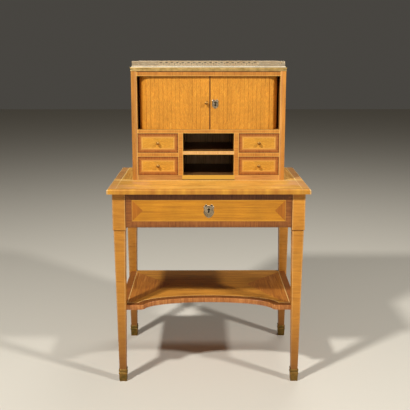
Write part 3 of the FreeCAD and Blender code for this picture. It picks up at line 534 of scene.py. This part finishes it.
def dressBoard(name, node, wood="caseWood", line=1.2, middleStrip=0, dark=0, inner="innerWood"):
    # a board seen end on: cross-grained veneer on the front edge, with a light line at each side of it
    material, add = newMaterial(name, **frenchPolish)
    low, high = (np.array(corner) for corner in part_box(node))
    wide, deep, tall = high - low
    upright = tall > wide
    half = min(wide, tall) / 2
    across, along, y = placeAxes(add, "xzy" if upright else "zxy", (low + high) / 2)
    edge, pores = woodFigure(add, (along, across, y) if middleStrip else (across, along, y), wood)
    onLine = add("Math LESS_THAN", (fromEdges(add, across, half), line * mm))
    edge = layColours(add, edge, (onLine, paleLine))
    share = 1.0
    if middleStrip:
        # a bright strip under the pigeonholes; the left half of the edge is the darker one
        atMiddle = add("Math LESS_THAN", (add("Math ABSOLUTE", (along,)), middleStrip * mm))
        faded = add("MapRange", (along, -50 * mm, 50 * mm, 0.72, 0.9))
        edge = layColours(add, add("HueSaturation", {"Color": edge, "Value": faded}), (atMiddle, "D0A03F"))
        share = add("MapRange", (atMiddle, 0.0, 1.0, 0.12, 0.7))
    if dark:
        # a dark line along one arris: where the board meets the table top it is a dark joint, and under the
        # brass band it is the band's painted shadow
        edge = drawLines(add, edge, across, (dark * half / mm, 5.2, redLine if dark > 0 else darkLine, share))
    inside, _ = woodFigure(add, (y, along, across), inner)
    atFront = add("Math LESS_THAN", (y, -deep / 2 + 0.2 * mm))
    finishSurface(material, layColours(add, inside, (atFront, edge)), pores)
    dressNode(node, material)


for side in ("left", "right"):
    dressCaseSide(side)
    dressBoard("dividerVeneer" + side.title(), "divider_" + side)
    dressBoard("drawerShelfVeneer" + side.title(), "drawer_shelf_" + side)
dressBoard("caseFloorVeneer", "case_floor", "floorEdge", 0.4, pigeonholeHalf, -1, "pigeonholeShadeWood")
dressBoard("caseTopVeneer", "case_top", "railWood", dark=1)
dressBoard("tambourFloorVeneer", "tambour_floor")
dressBoard("pigeonholeShelfVeneer", "pigeonhole_shelf", "shelfEdge", inner="pigeonholeShadeWood")


print("legs and shoes")

legLook = {
    "places": {"front_left": (-297.5, -183.5), "front_right": (297.5, -183.5),
               "rear_left": (-297.5, 198.5), "rear_right": (297.5, 198.5)},
    "profile": ((11.3, 3.0), (19.15, 540.9), (18.7, 541.5), (17.5, 541.5), (17.5, 544.0), (21.0, 544.0),
                (21.5, 544.6), (21.5, 669.0)),      # half width, height
    "corner": 1.0,
    "line": (2.2, 2.8),   # middle of the light line from the arris, and its width
}
shoeLook = {
    "cup": 12.5, "rim": 26.0, "height": 44.0, "bevel": 0.8, "corner": 1.4,
    # middle height, half height, how far it stands out
    "rings": ((29.3, 3.6, 2.2), (35.6, 1.5, 1.0), (40.6, 3.0, 1.9)),
}


def onCircle(angles):
    # rows of x and y on a circle of radius 1
    return np.stack([np.cos(angles), np.sin(angles)], axis=1)


def squareRings(profile, corner, centre):
    # A quarter of a ring is the middle of a side and an arc round the corner. Times 1, 1j, -1 and -1j it is
    # turned to all four sides. Also gives each point's distance from the nearest arris.
    half, height = np.array(profile, float).T[:, :, None]
    turn = np.linspace(0, math.pi / 2, 5)
    arc = (half - corner) * (1 + 1j) + corner * np.exp(1j * turn)
    side = np.concatenate([half + 0j, arc], axis=1)
    ring = (side[:, None] * np.array([1, 1j, -1, -1j])[:, None]).reshape(len(half), -1)
    near = corner * (1 - np.minimum(np.cos(turn), np.sin(turn)))
    arris = np.tile(np.concatenate([half, near + 0 * half], axis=1), 4)
    x, y = ring.real + centre[0], ring.imag + centre[1]
    return np.stack([x, y, height + 0 * x], axis=-1) * mm, arris * mm


def legVeneer():
    # cross-grained veneer with a light line beside each arris, darker and browner towards the foot
    material, add = newMaterial("legVeneer", **frenchPolish)
    x, y, z = placeAxes(add, "xyz")
    colour, pores = woodFigure(add, (add("Math ADD", (x, y)), z, 0.0), "legWood")
    arris = add("Attribute", out=2, attribute_name="arris")
    colour = drawLines(add, colour, arris, (*legLook["line"], "D2A872", 0.36))
    colour = layColours(add, colour, (add("MapRange", (z, 40 * mm, 300 * mm, 0.85, 0.0)), "7C4A16"))
    # painted light: the legs on the right are lighter, as if lit by the light from the right
    paintedRightLight = add("MapRange", (x, -200 * mm, 200 * mm, 0.98, 1.1))
    colour = add("HueSaturation", {"Color": colour, "Value": paintedRightLight})
    finishSurface(material, colour, pores)
    return material


shoeHeights = np.linspace(shoeLook["rim"], shoeLook["height"], 34)
shoeOut = np.max([out * np.sqrt(np.clip(1 - ((shoeHeights - at) / reach) ** 2, 0, 1))
                  for at, reach, out in shoeLook["rings"]], axis=0)
shoeProfile = [(shoeLook["cup"] - shoeLook["bevel"], 0.0), (shoeLook["cup"], shoeLook["bevel"])]
shoeProfile += list(zip(shoeLook["cup"] + shoeOut, shoeHeights))
# dirt under the cup and between the mouldings
shoeDirt = np.concatenate([[0.35, 0.1], 0.75 * np.exp(-(shoeOut / 0.5) ** 2)])
legWood = legVeneer()
for name, centre in legLook["places"].items():
    points, arris = squareRings(legLook["profile"], legLook["corner"], centre)
    makePiece("taperedLeg_" + name, "desk", legWood, points, "leg_" + name,
              {"arris": arris})
    points, _ = squareRings(shoeProfile, shoeLook["corner"], centre)
    makePiece("squareShoe_" + name, "desk", metal["sabotBrass"], points, "sabot_" + name,
              {"hollow": np.broadcast_to(shoeDirt[:, None], points.shape[:2])})


print("shelf between the legs")

shelfLook = {
    "half": 306.0, "front": -181.0, "rear": 198.0, "top": 273.0,
    "sweepHalf": 222.0, "sweepDeep": 71.0, "corner": 16.0, "band": 24.0, "leafSlope": 1.54,
    # distance in from the edge, and down from the upper face
    "edge": ((2.2, 0.0), (0.9, 0.35), (0.2, 1.2), (0.0, 2.4), (0.0, 12.6), (0.7, 13.4), (0.7, 14.2),
             (0.2, 14.8), (0.2, 15.8), (1.0, 17.0)),
}


def shelfOutline(inset):
    # Front edge: straight wings, a round corner tangent to wing and ellipse, and the ellipse offset by the
    # inset. The corner's centre lies where its distance from the ellipse equals its radius.
    look = shelfLook
    wide, deep, radius = look["sweepHalf"], look["sweepDeep"], look["corner"]
    angle = np.linspace(0, math.pi / 2, 400)
    sweep = onCircle(angle) * (wide, deep)
    tries = np.linspace(wide, wide + 2 * radius, 200)
    apart = np.hypot(tries[:, None] - sweep[:, 0], radius - sweep[:, 1])
    centreX = np.interp(radius, apart.min(axis=1), tries)
    touch = sweep[np.hypot(centreX - sweep[:, 0], radius - sweep[:, 1]).argmin()]
    toTouch = math.atan2(touch[1] - radius, touch[0] - centreX) % (2 * math.pi)
    turn = np.linspace(toTouch, 1.5 * math.pi, 9)
    corner = onCircle(turn) * (radius - inset) + (centreX, radius)
    angle = np.linspace(math.pi / 2, math.asin(touch[1] / deep), 40)[:-1]
    normal = onCircle(angle) / (wide, deep)
    normal /= np.linalg.norm(normal, axis=1, keepdims=True)
    curve = onCircle(angle) * (wide, deep) + inset * normal
    half, rear = look["half"] - inset, look["rear"] - look["front"] - inset
    right = np.concatenate([curve, corner, [[half, inset], [half, rear]]])
    left = right[:0:-1] * (-1, 1)
    return np.concatenate([right, left]) + (0, look["front"])


def shelfMaterial():
    # Field in four leaves that meet on diagonals; crossbanding along the front and the ends, a light line
    # inside it, and a light line near the rear edge. Distance from the ellipse = (q - 1) q / g, with q and g
    # the lengths of p/(a, b) and p/(a, b)^2.
    look = shelfLook
    material, add = newMaterial("shelfMarquetry", **frenchPolish)
    x, y, z = placeAxes(add, "xyz", (0, look["front"] * mm, look["top"] * mm))
    axes = (1 / (look["sweepHalf"] * mm), 1 / (look["sweepDeep"] * mm), 0)
    once = add("VectorMath MULTIPLY", (add("CombineXYZ", (x, y)), axes))
    twice = add("VectorMath MULTIPLY", (once, axes))
    q, g = add("VectorMath LENGTH", (once,), 1), add("VectorMath LENGTH", (twice,), 1)
    fromSweep = add("Math MULTIPLY", (add("Math SUBTRACT", (q, 1.0)), add("Math DIVIDE", (q, g))))
    fromFront = add("Math MINIMUM", (fromSweep, y))
    fromSide = fromEdges(add, x, look["half"] * mm)
    fromRear = add("Math SUBTRACT", ((look["rear"] - look["front"]) * mm, y))
    inward = add("Math MINIMUM", (fromFront, fromSide))
    sideBand = add("Math LESS_THAN", (fromSide, look["band"] * mm))
    inBand = add("Math LESS_THAN", (inward, look["band"] * mm))
    # end leaves: nearer to the side than to the rear, and than to the front on a steeper diagonal
    nearRear = add("Math LESS_THAN", (fromSide, fromRear))
    steep = add("Math MULTIPLY", (add("Math SUBTRACT", (fromSide, look["band"] * mm)), look["leafSlope"]))
    endLeaf = add("Math MULTIPLY", (nearRear, add("Math LESS_THAN", (steep, y))))
    field, _ = woodFigure(add, (x, y), "shelfWood")
    turned, _ = woodFigure(add, (y, x, 0.3), "shelfWood")
    turned = add("HueSaturation", {"Color": turned, "Value": 0.8, "Hue": 0.489})
    ends, pores = woodFigure(add, (x, y), "crossband")
    front, _ = woodFigure(add, (fromFront, x, 0.6), "crossband")
    front = add("HueSaturation", {"Color": front, "Value": 0.62})
    band = layColours(add, front, (sideBand, ends))
    colour = layColours(add, field, (endLeaf, turned), (inBand, band))
    colour = drawLines(add, colour, inward, (look["band"] + 1.2, 2.4, boxwoodLine, 0.5))
    colour = drawLines(add, colour, fromRear, (2.5, 3.0, boxwoodLine, 0.5))
    # below the upper face: the moulded edge in darker cross-grained wood
    edge, _ = woodFigure(add, (z, x, y), "edgeWood")
    onEdge = add("Math LESS_THAN", (z, -0.3 * mm))
    finishSurface(material, layColours(add, colour, (onEdge, edge)), pores)
    return material


outlines = np.stack([shelfOutline(inset) for inset, _ in shelfLook["edge"]])
points = raised(outlines, [shelfLook["top"] - down for _, down in shelfLook["edge"]])
makePiece("sweptShelf", "desk", shelfMaterial(), points, "undershelf")


print("tambour doors")

tambourLook = {
    "thick": 5.0, "pitch": 14.4, "gap": 0.4, "crown": 0.6,
    "low": 862.6, "high": 1046.4, "bendX": 207.0, "bendY": -3.0, "bend": 34.0,
    "stileWidth": 32.0, "canvas": 0.8,
    "gapFloor": 2.6,     # how far the bottom of the gap between two slats stands out
    # for each door: where its meeting edge stands, how many slats it has, and how far it slides
    "doors": {"right": (5.25, 16, 168.0), "left": (-4.75, 17, 178.0)},
}


def tambourVeneer():
    # slats cut in turn from one board: the figure runs up each slat and shifts a little at every joint
    material, add = newMaterial("tambourVeneer", **frenchPolish)
    run = add("Attribute", out=2, attribute_name="run")
    z = placeAxes(add, "z")[0]
    number = add("Math FLOOR", (add("Math DIVIDE", (run, tambourLook["pitch"] * mm)),))
    chance = add("TexWhiteNoise", {"W": number}, noise_dimensions="1D")
    shift, deeper = add("Math MULTIPLY_ADD", (chance, 50 * mm, z)), add("Math MULTIPLY", (chance, 12 * mm))
    colour, pores = woodFigure(add, (shift, run, deeper), "satinwood")
    shade = add("MapRange", (chance, 0.0, 1.0, 0.93, 1.05))
    finishSurface(material, add("HueSaturation", {"Color": colour, "Value": shade}), pores)
    return material


def doorPath(distance, start):
    # point at a distance along the slats' inner face: straight, a quarter round at the corner, straight back
    look = tambourLook
    radius = look["bend"] - look["thick"]
    straight = look["bendX"] - start
    angle = np.clip((distance - straight) / radius, 0, math.pi / 2)
    back = np.maximum(distance - straight - radius * math.pi / 2, 0)
    x = start + np.minimum(distance, straight) + radius * np.sin(angle)
    y = look["bendY"] - radius * np.cos(angle) + back
    return np.stack([x, y], axis=-1)


def doorMeshes(start, count):
    # Slats: the face stands out by the thickness, less the crown times the fourth power of the distance from
    # its middle. Canvas: the joints' line, and the same line moved in by the cloth's thickness.
    look = tambourLook
    joints = doorPath(look["stileWidth"] + look["pitch"] * np.arange(count + 1), start)
    chord = np.diff(joints, axis=0)
    along = chord / np.linalg.norm(chord, axis=1, keepdims=True)
    out = np.stack([along[:, 1], -along[:, 0]], axis=1)
    share = np.linspace(-1, 1, 11)
    half = (look["pitch"] - look["gap"]) / 2
    rise = look["thick"] - look["crown"] * share ** 4
    share, rise = np.pad(share, 1, mode="edge") * half, np.pad(rise, 1, constant_values=look["gapFloor"])
    middle = (joints[1:] + joints[:-1]) / 2
    faceLine = middle[:, None] + along[:, None] * share[None, :, None] + out[:, None] * rise[None, :, None]
    runs = (look["stileWidth"] + (np.arange(count)[:, None] + 0.5) * look["pitch"] + share[None, :]).ravel()
    outline = np.concatenate([faceLine.reshape(-1, 2), joints[::-1]])
    run = np.concatenate([runs, (look["stileWidth"] + look["pitch"] * np.arange(count + 1))[::-1]])
    away = np.concatenate([out[:1], (out[1:] + out[:-1]) / 2, out[-1:]])
    away /= np.linalg.norm(away, axis=1, keepdims=True)
    cloth = np.concatenate([joints, (joints - away * look["canvas"])[::-1]])
    return outline, run, cloth


doorWood, clothFinish = tambourVeneer(), linenCanvas()
for side, (start, count, travel) in tambourLook["doors"].items():
    outline, run, cloth = doorMeshes(start, count)
    way = 1 if side == "right" else -1
    slatRun = {"run": np.tile(run, 2) * mm}
    doorPieces = (("tambourSlats", outline, doorWood, "tambour_veneer", "tambour_slats_", slatRun),
                  ("tambourCloth", cloth, clothFinish, "canvas", "tambour_canvas_", None))
    for name, shape, finish, slotName, node, extra in doorPieces:
        points = raised(np.stack([shape * (way, 1)] * 2), (tambourLook["low"], tambourLook["high"]))
        piece = makePiece(name + side.title(), "tambour_" + side, finish, points, node + side,
                          extra, sharp=28)
        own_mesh(piece)
stileWood, add, colour = plainVeneer("stileVeneer", "satinwood", "zxy")
# the dark joint where the doors meet, widened with painted shade of the gap between them
colour = drawLines(add, colour, placeAxes(add, "x")[0], (5.0, 4.0, redLine, 1.0))
stileWood = keyholeShadeAndDirt(stileWood, add, colour, "tambour")
for side in ("left", "right"):
    dressNode("tambour_stile_" + side, stileWood)


print("knobs and shields")

knobLook = {
    "segments": 40,
    # distance in front of the board, and radius
    "profile": ((-13.8, 1.5), (0.0, 1.5), (0.0, 5.0), (0.5, 5.0), (0.9, 4.6), (1.1, 3.6), (1.6, 2.8),
                (3.0, 2.55), (4.6, 2.6), (5.4, 3.0), (6.0, 4.2), (6.6, 5.5), (7.2, 5.95), (7.9, 6.0),
                (8.6, 5.8), (9.0, 5.3), (9.1, 4.9), (9.6, 4.75), (10.4, 4.2), (11.1, 3.3), (11.6, 2.2),
                (11.9, 1.1), (12.0, 0.3)),
    "places": {f"small_drawer_{row}_{side}": (x, -45.0, z) for row, z in (("lower", 734.9), ("upper", 815.4))
               for side, x in (("left", -176.25), ("right", 176.25))},
}
knobLook["places"]["tambour"] = (-7.0, -37.0, 954.5)
distance, radius = np.array(knobLook["profile"]).T[:, :, None]
ring = radius * np.exp(1j * np.linspace(0, 2 * math.pi, knobLook["segments"], endpoint=False))
for name, (x, y, z) in knobLook["places"].items():
    points = np.stack([x + ring.real, y - distance + 0 * ring.real, z + ring.imag], axis=-1) * mm
    body = "tambour_left" if name == "tambour" else name
    makePiece("turnedKnob_" + name, body, metal["knobBrass"], points, name + "_knob")

shieldLook = {
    "thick": 1.6, "eye": 3.8, "slot": 4.3, "drop": 10.6, "rows": 24, "points": 144, "flutes": 18,
    # right half of the outline, from the middle of the top to the point, as shares of half width and height
    "arcs": (((0, 0.88), (0.12, 0.82), (0.26, 0.84)), ((0.26, 0.84), (0.48, 1.0), (0.70, 0.88)),
             ((0.70, 0.88), (0.80, 0.76), (1.0, 0.68)), ((1.0, 0.68), (0.86, 0.25), (0.95, -0.13)),
             ((0.95, -0.13), (0.64, -0.67), (0, -1.0))),
    "scroll": (0.48, 0.83, 2.5),   # middle of a scroll's eye as shares, and its radius on the larger plate
    "lift": 0.12,    # how far the keyhole sits above the plate's middle, as a share of the height
    # front of the board, width, height and body; the drawer's plate is the larger one
    "plates": {"drawer": (-205.0, 37.0, 46.0, "main_drawer"),
               "tambour": (-37.0, 25.0, 33.0, "tambour_right")},
}


def reachOf(outline, angles):
    # how far an outline lies from the origin in each direction
    place = outline[:, 0] + 1j * outline[:, 1]
    heading = np.angle(place)
    order = np.argsort(heading)
    return np.interp(angles, heading[order], np.abs(place)[order], period=2 * math.pi)


def throughArc(a, b, c):
    # a parabola from a through b to c, close to the arc through them
    t = np.linspace(0, 1, 16)[:, None]
    a, b, c = (np.array(p, float) for p in (a, b, c))
    return a * (1 - t) * (1 - 2 * t) + b * 4 * t * (1 - t) + c * t * (2 * t - 1)


def shieldPoints(x, y, z, width, height):
    # Rings from the plate's back edge over a rounded rim to the keyhole and down its wall. The face has a
    # bead and a groove along the rim, chased flutes round the keyhole (the fourth power of a cosine), and a
    # sunk eye in each scroll; hollow is 1 where dirt gathers, and at the keyhole's edge and wall, partly dirt
    # and partly painted shade.
    look = shieldLook
    angles = np.linspace(-math.pi, math.pi, look["points"], endpoint=False)
    right = np.concatenate([throughArc(*arc) for arc in look["arcs"]]) * (width / 2, height / 2)
    outline = np.concatenate([right, right[::-1] * (-1, 1)]) - (0, look["lift"] * height)
    size = width / look["plates"]["drawer"][1]
    eye = look["eye"] * onCircle(np.linspace(-0.25 * math.pi, 1.25 * math.pi, 60))
    half, low = look["slot"] / 2, -look["drop"]
    side = np.linspace((half, -0.8 * look["eye"]), (half, low), 30)
    foot = np.linspace((-half, low), (half, low), 20)
    rim, hole = reachOf(outline, angles), reachOf(np.concatenate([eye, side * (-1, 1), foot, side]), angles)
    share = np.linspace(0, 1, look["rows"])[:, None] ** 1.3
    reach = rim * (1 - share) + hole * share
    inFrom = np.minimum(rim - reach, reach - hole)
    px, pz = reach * np.cos(angles), reach * np.sin(angles)
    groove = np.exp(-((rim - reach - 2.9 * size) / (0.7 * size)) ** 2)
    rise = 0.5 + 1.1 * np.sqrt(np.clip(inFrom / (2.4 * size), 0, 1)) - 0.55 * groove
    rise -= 0.35 * np.clip(inFrom / (4 * size) - 0.6, 0, 1)
    hollow = groove * 0.95 + np.exp(-((reach - hole) / 0.7) ** 2)
    flutes = np.cos(look["flutes"] / 2 * angles) ** 4 * np.clip(1 - (np.abs(share - 0.55) / 0.3) ** 2, 0, 1)
    rise, hollow = rise - 0.3 * flutes, hollow + 0.6 * flutes
    for sign in (-1, 1):
        across, up = look["scroll"][0] * width / 2, (look["scroll"][1] / 2 - look["lift"]) * height
        eyes = np.exp(-(np.hypot(px - sign * across, pz - up) / (look["scroll"][2] * size)) ** 6)
        rise, hollow = rise - 0.9 * eyes, hollow + eyes
    rise, hollow = np.clip(rise, 0.35, look["thick"]), np.clip(hollow, 0, 1)
    # the rim's and the keyhole's ring once more at the back, on the board
    reach = np.concatenate([rim[None], reach, hole[None]])
    rise = np.pad(rise, ((1, 1), (0, 0)))
    hollow = np.pad(hollow, ((1, 1), (0, 0)), mode="edge")
    return np.stack([x + reach * np.cos(angles), y - rise, z + reach * np.sin(angles)], axis=-1) * mm, hollow


for name, (y, width, height, body) in shieldLook["plates"].items():
    x, z = keyholes[name]
    points, hollow = shieldPoints(x, y, z, width, height)
    makePiece("keyShield_" + name, body, metal["shieldBrass"], points, name + "_escutcheon",
              {"hollow": hollow}, sharp=50, wrapRows=True)


print("brass band and gallery")

bandLook = {
    "half": 264.5, "front": -43.5, "rear": 213.0, "base": 1063.0, "height": 13.0, "thick": 4.0,
    # shares of the thickness and of the height: fillet, hollow, and a round nosing above
    "profile": ((0, 0), (0.55, 0), (0.62, 0.03), (0.70, 0.08), (0.78, 0.12), (0.80, 0.17), (0.78, 0.22),
                (0.66, 0.25), (0.58, 0.30), (0.55, 0.37), (0.57, 0.45), (0.63, 0.54), (0.72, 0.62),
                (0.84, 0.69), (0.93, 0.74), (0.98, 0.79), (1.0, 0.85), (0.98, 0.91), (0.93, 0.96),
                (0.85, 1), (0, 1)),
}
galleryLook = {
    "half": 262.0, "front": -41.0, "rear": 210.5, "base": 1079.5, "height": 17.5, "rail": 3.0, "plate": 1.6,
    "return": 90.0, "pitch": 21.0,
    "sink": 0.4, "bevel": 0.3,     # how far the plate enters the rails, and its broken arrises
    "square": 0.55,                # power that draws the rails' round section towards a square
    # openings: width, height, middle above the base, and how pointed they are
    "lens": (13.0, 3.4, 10.9, 1.8), "dot": (4.4, 4.0, 5.6, 1.0),
}

corners = np.array([(-1, 0), (1, 0), (1, 1), (-1, 1)])
out, up = (np.array(bandLook["profile"]) * (bandLook["thick"], bandLook["height"])).T
bandX = corners[:, None, 0] * (bandLook["half"] + out)
bandY = np.where(corners[:, None, 1] == 0, bandLook["front"] - out, bandLook["rear"] + out)
points = np.stack([bandX, bandY, bandLook["base"] + up + 0 * bandX], axis=-1) * mm
makePiece("mouldedBand", "desk", metal["bandBrass"], points, "brass_band", sharp=40,
          wrapRows=True)


def joinMeshes(parts):
    # several meshes, each as points and faces, in one list of points and one of faces
    points, faces, count = [], [], 0
    for partPoints, partFaces in parts:
        faces += [[i + count for i in face] for face in partFaces]
        points.append(np.reshape(partPoints, (-1, 3)))
        count += len(points[-1])
    return np.concatenate(points), faces


def pierced(length):
    # the flat plate between the rails: pointed openings above, small round ones below and between them
    look = galleryLook
    low, high = look["rail"] - look["sink"], look["height"] - look["rail"] + look["sink"]
    count = int((length - look["rail"]) / look["pitch"])
    first = (length - (count - 1) * look["pitch"]) / 2
    circle = onCircle(np.linspace(0, 2 * math.pi, 24, endpoint=False))
    shapes = [np.array([(0, low), (length, low), (length, high), (0, high)])]
    for i in range(2 * count - 1):
        wide, tall, middle, pointed = look["dot"] if i % 2 else look["lens"]
        opening = np.sign(circle) * np.abs(circle) ** (1.0, pointed)
        shapes.append(opening * (wide / 2, tall / 2) + (first + i * look["pitch"] / 2, middle))
    curve = bpy.data.curves.new("piercing", "CURVE")
    curve.dimensions, curve.fill_mode = "2D", "BOTH"
    curve.extrude, curve.bevel_depth = look["plate"] / 2 - look["bevel"], look["bevel"]
    curve.bevel_resolution = 1
    for shape in shapes:
        spline = curve.splines.new("POLY")
        spline.points.add(len(shape) - 1)
        # a curve's points are x, y, z = 0 and weight = 1
        spline.points.foreach_set("co", np.insert(shape, [2, 2], (0, 1), axis=1).ravel())
        spline.use_cyclic_u = True
    helper = bpy.data.objects.new("piercing", curve)
    mesh = bpy.data.meshes.new_from_object(helper)
    points = np.zeros(len(mesh.vertices) * 3)
    mesh.vertices.foreach_get("co", points)
    faces = [list(polygon.vertices) for polygon in mesh.polygons]
    bpy.data.objects.remove(helper)
    bpy.data.curves.remove(curve)
    bpy.data.meshes.remove(mesh)
    return points.reshape(-1, 3), faces


def galleryStrip(length):
    # two rails with rounded arrises and the pierced plate, in (along, height, depth)
    look = galleryLook
    half = look["rail"] / 2
    circle = onCircle(np.linspace(0, 2 * math.pi, 16, endpoint=False))
    high, deep = (half * np.sign(circle) * np.abs(circle) ** look["square"]).T
    ends = np.array([[0.0], [length]])
    rails = [np.stack([ends + 0 * high, height + high + 0 * ends, deep + 0 * ends], axis=-1)
             for height in (half, look["height"] - half)]
    return joinMeshes([(rail, gridFaces(*rail.shape[:2])) for rail in rails] + [pierced(length)])


look = galleryLook
half, front, rear, rail = (look[key] for key in ("half", "front", "rear", "rail"))
alongX = ((1, 0, 0), (0, 0, 1), (0, 1, 0))
# length, where its axes point, and where it starts in x and y
strips = [(2 * half, alongX, -half, rear - rail / 2)]
for way in (-1, 1):
    alongY = ((0, 1, 0), (0, 0, 1), (way, 0, 0))
    strips.append((rear - front - 2 * rail, alongY, way * (half - rail / 2), front + rail))
for start in (-half, half - look["return"]):
    strips.append((look["return"], alongX, start, front + rail / 2))
parts = []
for length, axes, x, y in strips:
    points, faces = galleryStrip(length)
    parts.append((points @ np.array(axes) + (x, y, look["base"]), faces))
points, faces = joinMeshes(parts)
makePiece("piercedGallery", "desk", metal["gildedBrass"], points * mm, "gallery", sharp=50,
          faces=faces)
